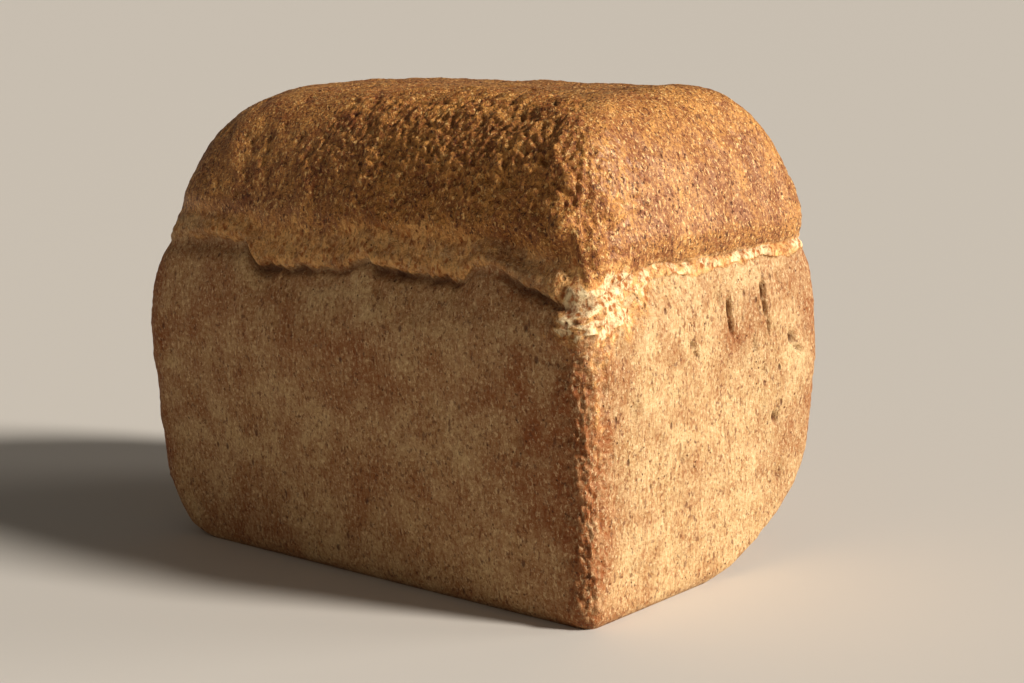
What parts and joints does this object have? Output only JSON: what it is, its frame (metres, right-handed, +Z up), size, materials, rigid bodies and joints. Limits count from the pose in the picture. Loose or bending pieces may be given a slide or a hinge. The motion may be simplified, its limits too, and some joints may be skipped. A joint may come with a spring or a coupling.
{
  "type": "tin loaf",
  "caption": "Whole uncut brown bread baked in a deep rectangular tin, with a risen dome torn from its straight sides.",
  "frame": {"origin": "on the resting face, under the middle of the loaf's box", "axes": "+X along the loaf towards its fuller end, -Y towards the long side with the widest torn band, +Z up"},
  "size_m": [0.1918, 0.1154, 0.1447],
  "materials": {
    "crust": "baked crust, satin, browner on the dome"
  },
  "bodies": {
    "root": {"loaf": "crust"}
  },
  "joints": []
}
